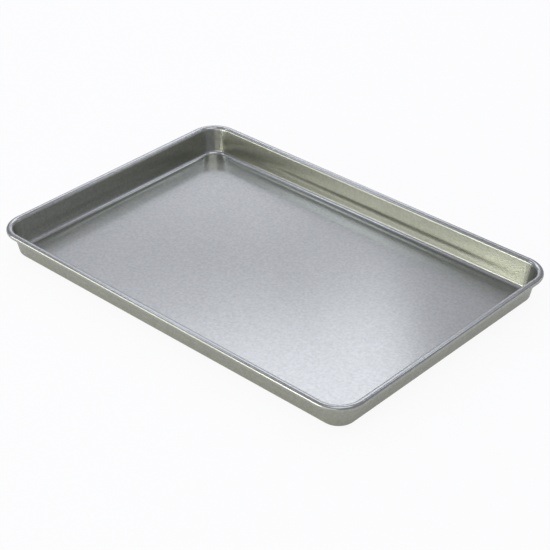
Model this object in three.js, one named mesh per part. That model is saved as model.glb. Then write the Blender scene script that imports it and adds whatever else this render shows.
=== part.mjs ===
// A sheet pan: one drawn steel tray whose rim is rolled over a loop of reinforcing wire.
// Millimetres, +Z up. The origin is under the middle of the floor, and +X runs along the pan.
import * as THREE from "three";
import { toCreasedNormals } from "three/addons/utils/BufferGeometryUtils.js";

// Outside of the pan
const LENGTH = 394;
const WIDTH = 267;
const HEIGHT = 26;
const CORNER_RADIUS = 25; // in plan, at the outer edge of the rim

// Sheet, and the wire that its rim is rolled over
const SHEET = 0.7;
const WIRE_DIAMETER = 3;
const WIRE_CLEARANCE = 0.3;
const WIRE_END_GAP = 0.6; // between the two ends of the loop

// Rim: a wide bend outwards at the top of the wall, a narrow level strip and a roll over the wire
const SHOULDER_RADIUS = 3.4;
const RIM_FLAT = 0.4;
const CURL_TURN = 245; // degrees that the roll goes on past the level strip

// Wall: leans outwards, stands nearly upright in a band at the waist and flares out again to the floor
const WALL_LEAN = 12.5; // degrees from upright, above the waist
const WAIST_HEIGHT = 12.2; // top of the upright band
const WAIST_LEAN = 1.5;
const HIP_HEIGHT = 7.8; // foot of the upright band
const HIP_LEAN = 18;
const WAIST_RADIUS = 14;
const HIP_RADIUS = 14;
const FLOOR_RADIUS = 4; // inside, between floor and wall

// Fineness of the facets
const CORNER_STEPS = 8;
const FLOOR_STEPS = 5;
const WALL_STEPS = 2;
const SHOULDER_STEPS = 6;
const CURL_STEPS = 14;
const WIRE_SIDES = 12;
const CREASE_ANGLE = THREE.MathUtils.degToRad(40);

const RIGHT_ANGLE = 90;
const CURL_RADIUS = WIRE_DIAMETER / 2 + WIRE_CLEARANCE + SHEET; // outside of the roll
const CURL_CENTRE = { inset: CURL_RADIUS, height: HEIGHT - CURL_RADIUS };
const SHOULDER_CENTRE = { inset: CURL_RADIUS + RIM_FLAT, height: HEIGHT - SHOULDER_RADIUS };

const coating = new THREE.MeshStandardMaterial({ color: 0x93958e, roughness: 0.38, metalness: 0.85 });
const bareWire = new THREE.MeshStandardMaterial({ color: 0xb4b7ba, roughness: 0.45, metalness: 1 });

// A unit step in the section, by its angle: 0 points in towards the pan's middle, 90 points up
function direction(angle) {
  const turned = THREE.MathUtils.degToRad(angle);
  return { inset: Math.cos(turned), height: Math.sin(turned) };
}

function moved(point, angle, distance) {
  const step = direction(angle);
  return { inset: point.inset + step.inset * distance, height: point.height + step.height * distance };
}

// The point that a wall reaches when it goes down from another with a lean from upright
function goneDown(point, lean, height) {
  const drop = point.height - height;
  return { inset: point.inset + drop * Math.tan(THREE.MathUtils.degToRad(lean)), height };
}

// Even steps from the first value to the last
function steps(first, last, count) {
  return Array.from({ length: count + 1 }, (_, i) => THREE.MathUtils.lerp(first, last, i / count));
}

// Places along an arc. Each has its point and the angle that the sheet's upper face looks in there.
function roundArc(centre, radius, firstAngle, lastAngle, count) {
  return steps(firstAngle, lastAngle, count).map((angle) => ({ angle, ...moved(centre, angle, radius) }));
}

// Places along the arc that rounds the corner between two faces, given by the angles they look in
function corner(point, firstAngle, lastAngle, radius, count) {
  const halfTurn = THREE.MathUtils.degToRad(firstAngle - lastAngle) / 2;
  const reach = firstAngle > lastAngle ? -radius : radius; // less than nothing in a hollow corner
  const centre = moved(point, (firstAngle + lastAngle) / 2, -reach / Math.cos(halfTurn));
  return roundArc(centre, reach, firstAngle, lastAngle, count);
}

// The sheet's upper face in section, from the edge of the flat floor to the cut edge of the rim.
// Straight runs join the arcs.
function upperFace() {
  const wallTop = moved(SHOULDER_CENTRE, WALL_LEAN, SHOULDER_RADIUS);
  const waist = goneDown(wallTop, WALL_LEAN, WAIST_HEIGHT);
  const hip = goneDown(waist, WAIST_LEAN, HIP_HEIGHT);
  const foot = goneDown(hip, HIP_LEAN, SHEET);
  return [
    ...corner(foot, RIGHT_ANGLE, HIP_LEAN, FLOOR_RADIUS, FLOOR_STEPS),
    ...corner(hip, HIP_LEAN, WAIST_LEAN, HIP_RADIUS, WALL_STEPS),
    ...corner(waist, WAIST_LEAN, WALL_LEAN, WAIST_RADIUS, WALL_STEPS),
    ...roundArc(SHOULDER_CENTRE, SHOULDER_RADIUS, WALL_LEAN, RIGHT_ANGLE, SHOULDER_STEPS),
    ...roundArc(CURL_CENTRE, CURL_RADIUS, RIGHT_ANGLE, RIGHT_ANGLE + CURL_TURN, CURL_STEPS),
  ];
}

// Places round the pan's plan, anticlockwise from the right end of the front side. Each is a
// corner's centre with the angle that the rim looks in.
function cornerStations() {
  const x = LENGTH / 2 - CORNER_RADIUS;
  const y = WIDTH / 2 - CORNER_RADIUS;
  const centres = [
    { x, y: -y, from: -90 },
    { x, y, from: 0 },
    { x: -x, y, from: 90 },
    { x: -x, y: -y, from: 180 },
  ];
  return centres.flatMap((centre) =>
    steps(centre.from, centre.from + RIGHT_ANGLE, CORNER_STEPS).map((angle) => ({
      x: centre.x,
      y: centre.y,
      angle: THREE.MathUtils.degToRad(angle),
    })),
  );
}

function placeAt(station, { inset, height }) {
  const reach = CORNER_RADIUS - inset;
  const x = station.x + reach * Math.cos(station.angle);
  const y = station.y + reach * Math.sin(station.angle);
  return new THREE.Vector3(x, y, height);
}

// A closed body through rings of points, with a flat face over the first ring and the last
function loft(rings) {
  const count = rings[0].length;
  const lastRing = (rings.length - 1) * count;
  const index = [];
  for (let ring = 0; ring < lastRing; ring += count) {
    for (let i = 0; i < count; i += 1) {
      const next = (i + 1) % count;
      const here = [ring + i, ring + next];
      const there = [here[0] + count, here[1] + count];
      index.push(here[0], there[1], here[1]);
      index.push(here[0], there[0], there[1]);
    }
  }
  for (let i = 1; i < count - 1; i += 1) {
    index.push(0, i, i + 1);
    index.push(lastRing, lastRing + i + 1, lastRing + i);
  }
  const geometry = new THREE.BufferGeometry().setFromPoints(rings.flat());
  geometry.setIndex(index);
  return toCreasedNormals(geometry, CREASE_ANGLE);
}

// Floor, walls and rolled rim, drawn from one sheet
function panBody() {
  const upper = upperFace();
  const lower = upper.map((place) => moved(place, place.angle, -SHEET)).reverse();
  const stations = cornerStations();
  const rings = [...upper, ...lower].map((place) => stations.map((station) => placeAt(station, place)));
  const mesh = new THREE.Mesh(loft(rings), coating);
  mesh.name = "pan_body";
  return mesh;
}

// The loop of round wire inside the rolled rim, with its ends facing at the middle of the front side
function rimWire() {
  const front = -(WIDTH / 2 - CORNER_RADIUS);
  const facingFront = THREE.MathUtils.degToRad(-RIGHT_ANGLE);
  const endStation = (side) => ({ x: (side * WIRE_END_GAP) / 2, y: front, angle: facingFront });
  const stations = [endStation(1), ...cornerStations(), endStation(-1)];
  const sides = steps(0, -360, WIRE_SIDES).slice(0, WIRE_SIDES);
  const rings = stations.map((station) =>
    sides.map((angle) => placeAt(station, moved(CURL_CENTRE, angle, WIRE_DIAMETER / 2))),
  );
  const mesh = new THREE.Mesh(loft(rings), bareWire);
  mesh.name = "rim_wire";
  return mesh;
}

const pan = new THREE.Group();
pan.name = "sheet_pan";
pan.add(panBody(), rimWire());

export default pan;
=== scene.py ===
"""Looks of a sheet pan: a tray drawn from one coated steel sheet, its rim rolled over a loop of wire."""
import math
from typing import NamedTuple

import bmesh
import bpy
from mathutils import Matrix, Quaternion, Vector


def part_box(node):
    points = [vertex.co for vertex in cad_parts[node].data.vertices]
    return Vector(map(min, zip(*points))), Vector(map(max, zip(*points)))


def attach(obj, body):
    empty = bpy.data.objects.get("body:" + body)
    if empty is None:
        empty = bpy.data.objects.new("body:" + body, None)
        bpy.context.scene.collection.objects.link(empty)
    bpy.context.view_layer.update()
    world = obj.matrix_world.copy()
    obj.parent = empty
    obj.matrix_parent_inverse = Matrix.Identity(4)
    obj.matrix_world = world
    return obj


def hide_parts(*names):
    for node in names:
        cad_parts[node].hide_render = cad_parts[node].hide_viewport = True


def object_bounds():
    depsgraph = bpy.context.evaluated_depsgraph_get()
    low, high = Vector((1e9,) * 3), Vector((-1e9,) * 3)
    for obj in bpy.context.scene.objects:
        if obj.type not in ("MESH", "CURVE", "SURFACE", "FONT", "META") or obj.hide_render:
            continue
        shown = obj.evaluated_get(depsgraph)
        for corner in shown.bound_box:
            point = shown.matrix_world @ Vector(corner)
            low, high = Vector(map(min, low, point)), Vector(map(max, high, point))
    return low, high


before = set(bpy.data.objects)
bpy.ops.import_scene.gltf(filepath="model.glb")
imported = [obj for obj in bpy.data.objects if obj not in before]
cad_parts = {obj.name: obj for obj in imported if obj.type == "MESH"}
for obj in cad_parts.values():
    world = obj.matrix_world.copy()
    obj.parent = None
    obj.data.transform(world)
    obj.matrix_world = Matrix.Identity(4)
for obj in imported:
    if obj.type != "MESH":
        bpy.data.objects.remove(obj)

bl_info = {
    "name": "Sheet Pan",
    "version": (1, 0, 0),
    "blender": (4, 5, 0),
    "location": "3D View > Sidebar > Sheet Pan",
    "description": "Draws a coated sheet pan with a wired rim and sets its studio",
    "category": "Add Mesh",
}

CAD_LOW, CAD_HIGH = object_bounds()
CAD_SIZE = CAD_HIGH - CAD_LOW
WIRE_LOW, WIRE_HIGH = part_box("rim_wire")

PHOTO_PIXELS = 550
MM = 0.001
MERGE = 1e-6
UP = Vector((0, 0, 1))
RIGHT_ANGLE = math.radians(90)

# Fineness of the facets
FLOOR_STEPS = 14
WALL_STEPS = 6
SHOULDER_STEPS = 12
CURL_STEPS = 36
CORNER_STEPS = 24
WIRE_SIDES = 20

# Patterns in the coating, by their number of spots in a metre
GRAIN_SCALE = 420
CLOUD_SCALE = 14
DRAW_MARK_SCALE = 450
RUB_SCALE = 160

# How much they change the colour and the roughness
GRAIN_SHADE = 0.46
CLOUD_SHADE = 0.06
DRAW_MARK_SHADE = 0.15
CLOUD_DULLNESS = 0.03
RUB_POLISH = 0.03

# Relief of the grain, stretch of the draw marks up the wall, and where the marks and the rubs come in
GRAIN_RELIEF = 0.3
GRAIN_DEPTH = 0.1 * MM
DRAW_MARK_STRETCH = 20
DRAW_MARK_HEIGHTS = (0.1, 0.3)  # shares of the pan's height
RUB_DEPTHS = (2 * MM, 0.3 * MM)  # below the top of the rim

# Scuffs on the wire
SCUFF_SCALE = 700
SCUFF_CHANGE = 0.2

# Table: half its width in metres, its dullness, and its share of plain white to the camera and in the metal
TABLE_REACH = 4
TABLE_ROUGHNESS = 0.9
SEEN_WHITE = 0.92
MIRRORED_WHITE = 0.35


# Sizes, colours and studio that a user would change

class SheetPanSizes(bpy.types.PropertyGroup):
    """Sizes of the pan's sheet and wire"""

    length: bpy.props.FloatProperty(
        name="Length", description="Over the rim, along X",
        default=CAD_SIZE.x, unit="LENGTH")
    width: bpy.props.FloatProperty(
        name="Width", description="Over the rim, along Y",
        default=CAD_SIZE.y, unit="LENGTH")
    height: bpy.props.FloatProperty(
        name="Height", description="From the underside to the top of the rim",
        default=CAD_SIZE.z, unit="LENGTH")
    corner_radius: bpy.props.FloatProperty(
        name="Corner Radius", description="In plan, at the rim's outer edge",
        default=25 * MM, unit="LENGTH")
    sheet: bpy.props.FloatProperty(
        name="Sheet", description="Thickness of the steel",
        default=0.7 * MM, unit="LENGTH")
    wire_diameter: bpy.props.FloatProperty(
        name="Wire", description="Diameter of the rim's wire",
        default=WIRE_HIGH.z - WIRE_LOW.z, unit="LENGTH")
    wire_clearance: bpy.props.FloatProperty(
        name="Wire Clearance", description="Between the wire and the roll",
        default=0.3 * MM, unit="LENGTH")
    wire_end_gap: bpy.props.FloatProperty(
        name="Wire End Gap", description="Between the two ends of the wire",
        default=0.6 * MM, unit="LENGTH")
    shoulder_radius: bpy.props.FloatProperty(
        name="Shoulder Radius", description="Of the bend from wall to rim",
        default=3.4 * MM, unit="LENGTH")
    rim_flat: bpy.props.FloatProperty(
        name="Rim Flat", description="Width of the rim's level strip",
        default=0.4 * MM, unit="LENGTH")
    curl_turn: bpy.props.FloatProperty(
        name="Curl Turn", description="How far the rim rolls on past level",
        default=math.radians(245), subtype="ANGLE")
    wall_lean: bpy.props.FloatProperty(
        name="Wall Lean", description="From upright, above the waist",
        default=math.radians(12.5), subtype="ANGLE")
    waist_height: bpy.props.FloatProperty(
        name="Waist Height", description="Top of the upright band",
        default=12.2 * MM, unit="LENGTH")
    waist_lean: bpy.props.FloatProperty(
        name="Waist Lean", description="From upright, in the band",
        default=math.radians(1.5), subtype="ANGLE")
    waist_radius: bpy.props.FloatProperty(
        name="Waist Radius", description="Of the bend above the band",
        default=14 * MM, unit="LENGTH")
    waist_start: bpy.props.FloatProperty(
        name="Waist Start", description="Length by a corner without the band",
        default=25 * MM, unit="LENGTH")
    waist_fade: bpy.props.FloatProperty(
        name="Waist Fade", description="Length in which the band then comes in",
        default=40 * MM, unit="LENGTH")
    hip_height: bpy.props.FloatProperty(
        name="Hip Height", description="Foot of the upright band",
        default=7.8 * MM, unit="LENGTH")
    hip_lean: bpy.props.FloatProperty(
        name="Hip Lean", description="From upright, below the band",
        default=math.radians(18), subtype="ANGLE")
    hip_radius: bpy.props.FloatProperty(
        name="Hip Radius", description="Of the bend below the band",
        default=14 * MM, unit="LENGTH")
    floor_radius: bpy.props.FloatProperty(
        name="Floor Radius", description="Inside, between floor and wall",
        default=4 * MM, unit="LENGTH")

    def curl_radius(self):
        """Outside of the roll round the wire, which is also its middle's distance from the rim's edge"""
        return self.wire_diameter / 2 + self.wire_clearance + self.sheet

    def corner_centre(self):
        """Middle of the corner's rounding in plan, at the corner towards +X and +Y"""
        return Vector((self.length / 2 - self.corner_radius, self.width / 2 - self.corner_radius, 0))


class SheetPanFinish(bpy.types.PropertyGroup):
    """Colour and sheen of the coating and the wire"""

    coating: bpy.props.FloatVectorProperty(
        name="Coating", description="Metallic non-stick coating",
        default=(0.41, 0.42, 0.34), subtype="COLOR", size=3, min=0, max=1)
    flat_roughness: bpy.props.FloatProperty(
        name="Flat Flakes", description="Roughness of the metal flakes that lie flat",
        default=0.17, min=0, max=1)
    askew_roughness: bpy.props.FloatProperty(
        name="Askew Flakes", description="Roughness of the metal flakes that lie askew",
        default=0.34, min=0, max=1)
    askew_share: bpy.props.FloatProperty(
        name="Askew Share", description="Share of the flakes that lie askew",
        default=0.45, min=0, max=1)
    wire: bpy.props.FloatVectorProperty(
        name="Wire", description="Bare drawn steel",
        default=(0.55, 0.56, 0.57), subtype="COLOR", size=3, min=0, max=1)
    wire_roughness: bpy.props.FloatProperty(
        name="Wire Roughness", description="Mean roughness of the drawn steel",
        default=0.45, min=0, max=1)


class SheetPanStudio(bpy.types.PropertyGroup):
    """Camera and light round the pan"""

    azimuth: bpy.props.FloatProperty(
        name="Azimuth", description="Camera's turn round the pan from the front",
        default=math.radians(43.21), subtype="ANGLE")
    elevation: bpy.props.FloatProperty(
        name="Elevation", description="Camera's height above the horizon",
        default=math.radians(32.814), subtype="ANGLE")
    roll: bpy.props.FloatProperty(
        name="Roll", description="Camera's turn about its own line of sight",
        default=math.radians(-0.552), subtype="ANGLE")
    distance: bpy.props.FloatProperty(
        name="Distance", description="From the camera to its target",
        default=1.33596, unit="LENGTH")
    target: bpy.props.FloatVectorProperty(
        name="Target", description="What the camera looks at",
        default=(0.018802, -0.012495, 0.012), subtype="TRANSLATION", size=3)
    focal_pixels: bpy.props.FloatProperty(
        name="Focal Length", description="Of the camera, in pixels of the photograph",
        default=1610.6)
    table: bpy.props.FloatVectorProperty(
        name="Table", description="Colour that the pan stands on",
        default=(0.9, 0.9, 0.86), subtype="COLOR", size=3, min=0, max=1)
    room: bpy.props.FloatVectorProperty(
        name="Room", description="Light from all round",
        default=(0.40, 0.40, 0.53), subtype="COLOR", size=3, min=0, max=1)
    lamp_distance: bpy.props.FloatProperty(
        name="Lamp Distance", description="From the pan to each lamp",
        default=1.3, unit="LENGTH")


# Shader maths

class Term:
    """An output socket in a node tree. Arithmetic on it adds Math nodes."""

    def __init__(self, socket):
        self.socket = socket

    def worked_out(self, operation, first, second):
        tree = self.socket.id_data
        return add_node(tree, "ShaderNodeMath", {"operation": operation}, {0: first, 1: second}, "Value")

    def __add__(self, other):
        return self.worked_out("ADD", self, other)

    def __radd__(self, other):
        return self.worked_out("ADD", other, self)

    def __sub__(self, other):
        return self.worked_out("SUBTRACT", self, other)

    def __rsub__(self, other):
        return self.worked_out("SUBTRACT", other, self)

    def __mul__(self, other):
        return self.worked_out("MULTIPLY", self, other)

    def __rmul__(self, other):
        return self.worked_out("MULTIPLY", other, self)


def add_node(tree, kind, settings=None, sockets=None, output=None):
    """A node with its settings, then its sockets' values or links. Returns the named output, or the node."""
    node = tree.nodes.new(kind)
    for name, value in (settings or {}).items():
        setattr(node, name, value)
    for name, value in (sockets or {}).items():
        if isinstance(value, Term):
            tree.links.new(value.socket, node.inputs[name])
        else:
            node.inputs[name].default_value = value
    return Term(node.outputs[output]) if output else node


def new_material(name):
    """A material with an empty node tree, and the tree"""
    material = bpy.data.materials.new(name)
    material.use_nodes = True
    material.node_tree.nodes.clear()
    return material, material.node_tree


def opaque(colour):
    return (*colour, 1)


def noise(tree, place, scale, detail=2, roughness=0.5):
    """Smooth noise about nothing, from -0.5 to 0.5"""
    values = add_node(
        tree, "ShaderNodeTexNoise", {"noise_dimensions": "3D"},
        {"Vector": place, "Scale": scale, "Detail": detail, "Roughness": roughness}, "Fac")
    return values - 0.5


def rise(tree, value, low, high):
    """0 up to low, 1 from high on, and a smooth rise between"""
    return add_node(
        tree, "ShaderNodeMapRange", {"interpolation_type": "SMOOTHSTEP"},
        {"Value": value, "From Min": low, "From Max": high}, "Result")


def shaded(tree, colour, shade):
    """The colour made darker or lighter by a varying factor"""
    return add_node(
        tree, "ShaderNodeVectorMath", {"operation": "SCALE"}, {0: colour, "Scale": shade}, "Vector")


def metal_flakes(tree, colour, roughness, relief):
    return add_node(
        tree, "ShaderNodeBsdfPrincipled", None,
        {"Base Color": colour, "Roughness": roughness, "Metallic": 1, "Normal": relief}, "BSDF")


def coating_material(finish, sizes):
    """Pewter-coloured non-stick coating: fine metal grain, faint draw marks up the walls and a rubbed rim"""
    material, tree = new_material("pewter_coating")
    place = add_node(tree, "ShaderNodeTexCoord", output="Object")
    height = add_node(tree, "ShaderNodeSeparateXYZ", None, {"Vector": place}, "Z")
    drawn_up = add_node(
        tree, "ShaderNodeVectorMath", {"operation": "MULTIPLY"},
        {0: place, 1: (1, 1, 1 / DRAW_MARK_STRETCH)}, "Vector")
    grain = noise(tree, place, GRAIN_SCALE)
    clouds = noise(tree, place, CLOUD_SCALE)
    on_wall = rise(tree, height, *(share * sizes.height for share in DRAW_MARK_HEIGHTS))
    draw_marks = noise(tree, drawn_up, DRAW_MARK_SCALE) * on_wall
    on_rim = rise(tree, height, *(sizes.height - depth for depth in RUB_DEPTHS))
    rubs = (noise(tree, place, RUB_SCALE, detail=3) + 0.5) * on_rim
    shade = 1 + grain * GRAIN_SHADE + clouds * CLOUD_SHADE + draw_marks * DRAW_MARK_SHADE
    colour = shaded(tree, finish.coating, shade)
    relief = add_node(
        tree, "ShaderNodeBump", None,
        {"Strength": GRAIN_RELIEF, "Distance": GRAIN_DEPTH, "Height": grain}, "Normal")
    dullness = clouds * CLOUD_DULLNESS - rubs * RUB_POLISH
    flat_flakes = metal_flakes(tree, colour, finish.flat_roughness + dullness, relief)
    askew_flakes = metal_flakes(tree, colour, finish.askew_roughness + dullness, relief)
    coat = add_node(
        tree, "ShaderNodeMixShader", None,
        {"Fac": finish.askew_share, 1: flat_flakes, 2: askew_flakes}, "Shader")
    add_node(tree, "ShaderNodeOutputMaterial", None, {"Surface": coat})
    return material


def wire_material(finish):
    """Bare drawn steel wire, a little dull"""
    material, tree = new_material("drawn_wire")
    place = add_node(tree, "ShaderNodeTexCoord", output="Object")
    scuffs = noise(tree, place, SCUFF_SCALE, detail=3, roughness=0.6) * SCUFF_CHANGE
    steel = add_node(
        tree, "ShaderNodeBsdfPrincipled", None,
        {"Base Color": shaded(tree, finish.wire, 1 + scuffs), "Roughness": finish.wire_roughness + scuffs,
         "Metallic": 1}, "BSDF")
    add_node(tree, "ShaderNodeOutputMaterial", None, {"Surface": steel})
    return material


# Shapes

def only(kind, parts):
    """Those of the parts that are of one kind: verts, edges or faces"""
    return [part for part in parts if isinstance(part, kind)]


class SectionLine:
    """A line in an upright plane along X, drawn by its moving end in straight runs and bends."""

    def __init__(self, bm, start):
        self.bm = bm
        self.end = bm.verts.new(start)
        self.heading = 0.0  # angle above +X

    def run(self, length):
        made = bmesh.ops.extrude_vert_indiv(self.bm, verts=[self.end])
        self.end = made["verts"][0]
        ahead = Vector((math.cos(self.heading), 0, math.sin(self.heading)))
        bmesh.ops.translate(self.bm, verts=[self.end], vec=ahead * length)

    def bend(self, radius, turn, steps):
        """Turns upwards from the heading, or downwards where turn is less than nothing."""
        left = Vector((-math.sin(self.heading), 0, math.cos(self.heading)))
        centre = self.end.co + left * math.copysign(radius, turn)
        made = bmesh.ops.spin(
            self.bm, geom=[self.end], cent=centre, axis=(0, -1, 0), angle=turn, steps=steps)
        self.end = only(bmesh.types.BMVert, made["geom_last"])[0]
        self.heading += turn


class Stretch(NamedTuple):
    """A straight stretch of the wall, and the bend below it"""

    heading: float  # angle above level
    climb: float  # height that it would gain between sharp corners
    bend_radius: float
    bend_steps: int


def draw_section(bm, sizes):
    """The sheet's upper face on the right side of the pan, from the flat floor's edge to the rim's cut edge.

    Returns the foot and the top of the wall, between the floor's bend and the rim's.
    """
    flare_height = sizes.hip_height - sizes.sheet
    band_height = sizes.waist_height - sizes.hip_height
    upper_height = sizes.height - sizes.waist_height
    stretches = (
        Stretch(RIGHT_ANGLE - sizes.hip_lean, flare_height, sizes.floor_radius, FLOOR_STEPS),
        Stretch(RIGHT_ANGLE - sizes.waist_lean, band_height, sizes.hip_radius, WALL_STEPS),
        Stretch(RIGHT_ANGLE - sizes.wall_lean, upper_height, sizes.waist_radius, WALL_STEPS),
    )
    headings = [0.0, *(stretch.heading for stretch in stretches), 0.0]
    turns = [after - before for before, after in zip(headings, headings[1:])]
    radii = [*(stretch.bend_radius for stretch in stretches), sizes.shoulder_radius]
    # A bend takes this length from the straight stretches at its two sides
    tangents = [radius * abs(math.tan(turn / 2)) for radius, turn in zip(radii, turns)]
    spread = sum(stretch.climb / math.tan(stretch.heading) for stretch in stretches)
    rim_width = sizes.curl_radius() + sizes.rim_flat + tangents[-1]
    inset = rim_width + spread + tangents[0]
    line = SectionLine(bm, (sizes.length / 2 - inset, sizes.corner_centre().y, sizes.sheet))
    bend_ends = []
    for number, stretch in enumerate(stretches):
        line.bend(stretch.bend_radius, turns[number], stretch.bend_steps)
        bend_ends.append(line.end.co.copy())
        line.run(stretch.climb / math.sin(stretch.heading) - tangents[number] - tangents[number + 1])
    wall_top = line.end.co.copy()
    line.bend(sizes.shoulder_radius, turns[-1], SHOULDER_STEPS)
    line.run(sizes.rim_flat)
    line.bend(sizes.curl_radius(), -sizes.curl_turn, CURL_STEPS)
    return bend_ends[0], wall_top


def draw_straight(bm, edges, way):
    """Draws the edges out along a straight way. Returns the edges at its far end."""
    made = bmesh.ops.extrude_edge_only(bm, edges=edges)["geom"]
    ends = only(bmesh.types.BMVert, made)
    bmesh.ops.translate(bm, verts=ends, vec=way)
    far_verts = set(ends)
    return [edge for edge in only(bmesh.types.BMEdge, made) if far_verts.issuperset(edge.verts)]


def draw_round_corner(bm, edges, centre):
    """Draws the edges a quarter turn round an upright line. Returns the edges at its far end."""
    made = bmesh.ops.spin(bm, geom=edges, cent=centre, axis=UP, angle=RIGHT_ANGLE, steps=CORNER_STEPS)
    return only(bmesh.types.BMEdge, made["geom_last"])


def lead_round_pan(bm, sizes):
    """Takes a section on the right side round a corner, and on to the middle of both sides."""
    centre = sizes.corner_centre()
    first = bm.edges[:]
    last = draw_round_corner(bm, first, centre)
    for edges, way, length in ((first, Vector((0, -1, 0)), centre.y), (last, Vector((-1, 0, 0)), centre.x)):
        for stretch in (sizes.waist_start, sizes.waist_fade, length - sizes.waist_start - sizes.waist_fade):
            edges = draw_straight(bm, edges, way * stretch)


def straighten_corner(bm, sizes, foot, top):
    """Moves the wall round the corner and beside it on to the straight slope from its foot to its top."""
    centre = sizes.corner_centre()
    for vert in bm.verts:
        offset = vert.co - centre
        outwards = Vector((max(offset.x, 0), max(offset.y, 0), 0))
        by_corner = min(offset.x, offset.y) > -sizes.waist_start - MERGE
        on_wall = foot.z < vert.co.z < top.z and outwards.length < top.x - centre.x
        if by_corner and on_wall:
            share = (vert.co.z - foot.z) / (top.z - foot.z)
            reach = foot.lerp(top, share).x - centre.x
            bmesh.ops.translate(bm, verts=[vert], vec=outwards.normalized() * (reach - outwards.length))


def mirror_over(bm, axis):
    everything = bm.verts[:] + bm.edges[:] + bm.faces[:]
    bmesh.ops.mirror(bm, geom=everything, matrix=Matrix.Identity(4), merge_dist=MERGE, axis=axis)


def close_floor(bm, sizes):
    """Fills the flat floor, and turns all the faces to the sheet's upper side."""
    floor_edge = [
        edge for edge in bm.edges
        if edge.is_boundary and max(vert.co.z for vert in edge.verts) < 2 * sizes.sheet]
    bmesh.ops.contextual_create(bm, geom=floor_edge)
    bmesh.ops.recalc_face_normals(bm, faces=bm.faces[:])
    floor = max(bm.faces, key=lambda face: face.calc_area())
    if floor.normal.z < 0:
        bmesh.ops.reverse_faces(bm, faces=bm.faces[:])


def set_piece(bm, name, material, node):
    """Makes the mesh a piece of the pan that stands for a node of the frame."""
    for face in bm.faces:
        face.smooth = True
    mesh = bpy.data.meshes.new(name)
    bm.to_mesh(mesh)
    bm.free()
    mesh.materials.append(material)
    piece = bpy.data.objects.new(name, mesh)
    bpy.context.scene.collection.objects.link(piece)
    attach(piece, "root")
    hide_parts(node)
    return piece


class SHEETPAN_OT_draw_body(bpy.types.Operator):
    """Draw the coated sheet into floor, walls and rolled rim"""

    bl_idname = "sheet_pan.draw_body"
    bl_label = "Draw Pan Body"

    def execute(self, context):
        sizes = context.scene.sheet_pan_sizes
        bm = bmesh.new()
        foot, top = draw_section(bm, sizes)
        lead_round_pan(bm, sizes)
        straighten_corner(bm, sizes, foot, top)
        mirror_over(bm, "X")
        mirror_over(bm, "Y")
        close_floor(bm, sizes)
        for edge in bm.edges:
            edge.smooth = not edge.is_boundary
        coating = coating_material(context.scene.sheet_pan_finish, sizes)
        body = set_piece(bm, "pan_shell", coating, "pan_body")
        thickness = body.modifiers.new("sheet", "SOLIDIFY")
        thickness.thickness = sizes.sheet
        thickness.offset = -1
        thickness.use_even_offset = True
        return {"FINISHED"}


class SHEETPAN_OT_bend_wire(bpy.types.Operator):
    """Bend the loop of wire that the rim is rolled over"""

    bl_idname = "sheet_pan.bend_wire"
    bl_label = "Bend Rim Wire"

    def execute(self, context):
        sizes = context.scene.sheet_pan_sizes
        centre = sizes.corner_centre()
        front = sizes.curl_radius() - sizes.width / 2
        start = Vector((sizes.wire_end_gap / 2, front, sizes.height - sizes.curl_radius()))
        facing_x = Matrix.Translation(start) @ Matrix.Rotation(RIGHT_ANGLE, 4, "Y")
        bm = bmesh.new()
        bmesh.ops.create_circle(
            bm, cap_ends=False, radius=sizes.wire_diameter / 2, segments=WIRE_SIDES, matrix=facing_x)
        ring = draw_straight(bm, bm.edges[:], Vector((centre.x - start.x, 0, 0)))
        ring = draw_round_corner(bm, ring, Vector((centre.x, -centre.y, 0)))
        ring = draw_straight(bm, ring, Vector((0, 2 * centre.y, 0)))
        ring = draw_round_corner(bm, ring, centre)
        draw_straight(bm, ring, Vector((-centre.x, 0, 0)))
        mirror_over(bm, "X")
        ends = [edge for edge in bm.edges if edge.is_boundary]
        bmesh.ops.holes_fill(bm, edges=ends, sides=0)
        bmesh.ops.recalc_face_normals(bm, faces=bm.faces[:])
        for edge in ends:
            edge.smooth = False
        set_piece(bm, "wire_loop", wire_material(context.scene.sheet_pan_finish), "rim_wire")
        return {"FINISHED"}


# Studio

def table_material(studio):
    """White table that keeps the pan's soft shadow"""
    material, tree = new_material("table")
    rays = add_node(tree, "ShaderNodeLightPath")
    seen = Term(rays.outputs["Is Camera Ray"])
    mirrored = Term(rays.outputs["Is Glossy Ray"])
    through = Term(rays.outputs["Is Transmission Ray"])
    matt = add_node(
        tree, "ShaderNodeBsdfPrincipled", None,
        {"Base Color": opaque(studio.table), "Roughness": TABLE_ROUGHNESS}, "BSDF")
    white = add_node(tree, "ShaderNodeEmission", None, {"Color": (1, 1, 1, 1), "Strength": 1}, "Emission")
    share = seen * SEEN_WHITE + (mirrored + through) * MIRRORED_WHITE
    mixed = add_node(tree, "ShaderNodeMixShader", None, {"Fac": share, 1: matt, 2: white}, "Shader")
    add_node(tree, "ShaderNodeOutputMaterial", None, {"Surface": mixed})
    return material


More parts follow.
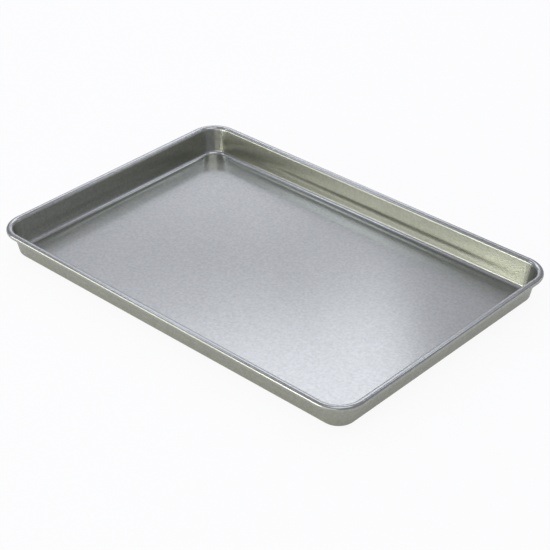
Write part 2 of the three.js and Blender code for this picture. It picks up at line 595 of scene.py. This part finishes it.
class SHEETPAN_OT_set_stage(bpy.types.Operator):
    """Lay the table, hang the lamps and set the camera"""

    bl_idname = "sheet_pan.set_stage"
    bl_label = "Set Stage"

    def execute(self, context):
        studio = context.scene.sheet_pan_studio
        self.lay_table(context, studio)
        self.fill_room(context, studio)
        self.hang_lamps(context, studio)
        self.set_camera(context, studio)
        context.scene.view_settings.view_transform = "Standard"
        return {"FINISHED"}

    def lay_table(self, context, studio):
        bm = bmesh.new()
        bmesh.ops.create_grid(bm, x_segments=1, y_segments=1, size=TABLE_REACH)
        mesh = bpy.data.meshes.new("table")
        bm.to_mesh(mesh)
        bm.free()
        mesh.materials.append(table_material(studio))
        table = bpy.data.objects.new("table", mesh)
        context.scene.collection.objects.link(table)

    def fill_room(self, context, studio):
        world = bpy.data.worlds.new("room")
        world.use_nodes = True
        tree = world.node_tree
        tree.nodes.clear()
        light = add_node(
            tree, "ShaderNodeBackground", None, {"Color": opaque(studio.room), "Strength": 1}, "Background")
        add_node(tree, "ShaderNodeOutputWorld", None, {"Surface": light})
        context.scene.world = world

    def hang_lamps(self, context, studio):
        neutral = (1.0, 1.0, 1.0)
        cool = (0.94, 0.955, 1.23)
        blue = (0.88, 0.95, 1.4)
        # Name, turn from the camera and elevation in degrees, width and height in metres, brightness, colour
        lamps = (
            ("back_softbox", 188, 42.7, 0.70, 0.32, 1.8, cool),
            ("back_wide", 185, 43, 1.00, 0.28, 0.3, cool),
            ("back_card", 182, 21, 0.87, 0.41, 0.95, cool),
            ("left_high", 252, 50, 0.30, 0.22, 3.8, blue),
            ("left_card", 276, 10, 0.66, 0.42, 1.8, neutral),
            ("left_low", 272, 3.5, 0.62, 0.12, 2.8, neutral),
            ("left_strip", 300, 9, 0.45, 0.38, 5.8, neutral),
            ("front_card", 330, 15, 1.10, 0.65, 0.95, neutral),
            ("right_low", 95, 4.5, 0.60, 0.11, 1.6, neutral),
            ("right_high", 108, 46, 0.26, 0.20, 2.6, blue),
            ("right_back", 155, 49, 0.42, 0.24, 1.5, cool),
            ("overhead", 20, 74, 0.90, 0.75, 1.5, cool),
        )
        for name, turn, elevation, width, height, brightness, colour in lamps:
            lamp = bpy.data.lights.new(name, "AREA")
            lamp.shape = "RECTANGLE"
            lamp.size = width
            lamp.size_y = height
            lamp.energy = math.pi * width * height * brightness
            lamp.color = colour
            holder = bpy.data.objects.new(name, lamp)
            back = self.away(studio.azimuth + math.radians(turn), math.radians(elevation))
            holder.location = back * studio.lamp_distance
            holder.rotation_euler = (-back).to_track_quat("-Z", "Y").to_euler()
            holder.visible_camera = False
            context.scene.collection.objects.link(holder)

    def set_camera(self, context, studio):
        camera = bpy.data.cameras.new("camera")
        camera.lens = studio.focal_pixels * camera.sensor_width / PHOTO_PIXELS
        holder = bpy.data.objects.new("camera", camera)
        back = self.away(studio.azimuth, studio.elevation)
        holder.location = Vector(studio.target) + back * studio.distance
        facing = (-back).to_track_quat("-Z", "Y")
        holder.rotation_mode = "QUATERNION"
        holder.rotation_quaternion = facing @ Quaternion(UP, studio.roll)
        context.scene.collection.objects.link(holder)
        context.scene.camera = holder

    @staticmethod
    def away(azimuth, elevation):
        """Direction out from the pan. Azimuth 0 is the pan's front, and 90 degrees its right."""
        level = math.cos(elevation)
        return Vector((math.sin(azimuth) * level, -math.cos(azimuth) * level, math.sin(elevation)))


class SHEETPAN_PT_sidebar(bpy.types.Panel):
    """Sizes, finish, studio and the steps that build the pan"""

    bl_idname = "SHEETPAN_PT_sidebar"
    bl_label = "Sheet Pan"
    bl_space_type = "VIEW_3D"
    bl_region_type = "UI"
    bl_category = "Sheet Pan"

    def draw(self, context):
        layout = self.layout
        scene = context.scene
        for group in (scene.sheet_pan_sizes, scene.sheet_pan_finish, scene.sheet_pan_studio):
            column = layout.column(align=True)
            for name in group.__annotations__:
                column.prop(group, name)
        for operator in STEPS:
            layout.operator(operator.bl_idname)


STEPS = (SHEETPAN_OT_draw_body, SHEETPAN_OT_bend_wire, SHEETPAN_OT_set_stage)
CLASSES = (SheetPanSizes, SheetPanFinish, SheetPanStudio, *STEPS, SHEETPAN_PT_sidebar)


def register():
    for cls in CLASSES:
        bpy.utils.register_class(cls)
    bpy.types.Scene.sheet_pan_sizes = bpy.props.PointerProperty(type=SheetPanSizes)
    bpy.types.Scene.sheet_pan_finish = bpy.props.PointerProperty(type=SheetPanFinish)
    bpy.types.Scene.sheet_pan_studio = bpy.props.PointerProperty(type=SheetPanStudio)


def unregister():
    del bpy.types.Scene.sheet_pan_studio
    del bpy.types.Scene.sheet_pan_finish
    del bpy.types.Scene.sheet_pan_sizes
    for cls in reversed(CLASSES):
        bpy.utils.unregister_class(cls)


def main():
    register()
    bpy.ops.sheet_pan.draw_body()
    bpy.ops.sheet_pan.bend_wire()
    bpy.ops.sheet_pan.set_stage()


if __name__ == "__main__":
    main()
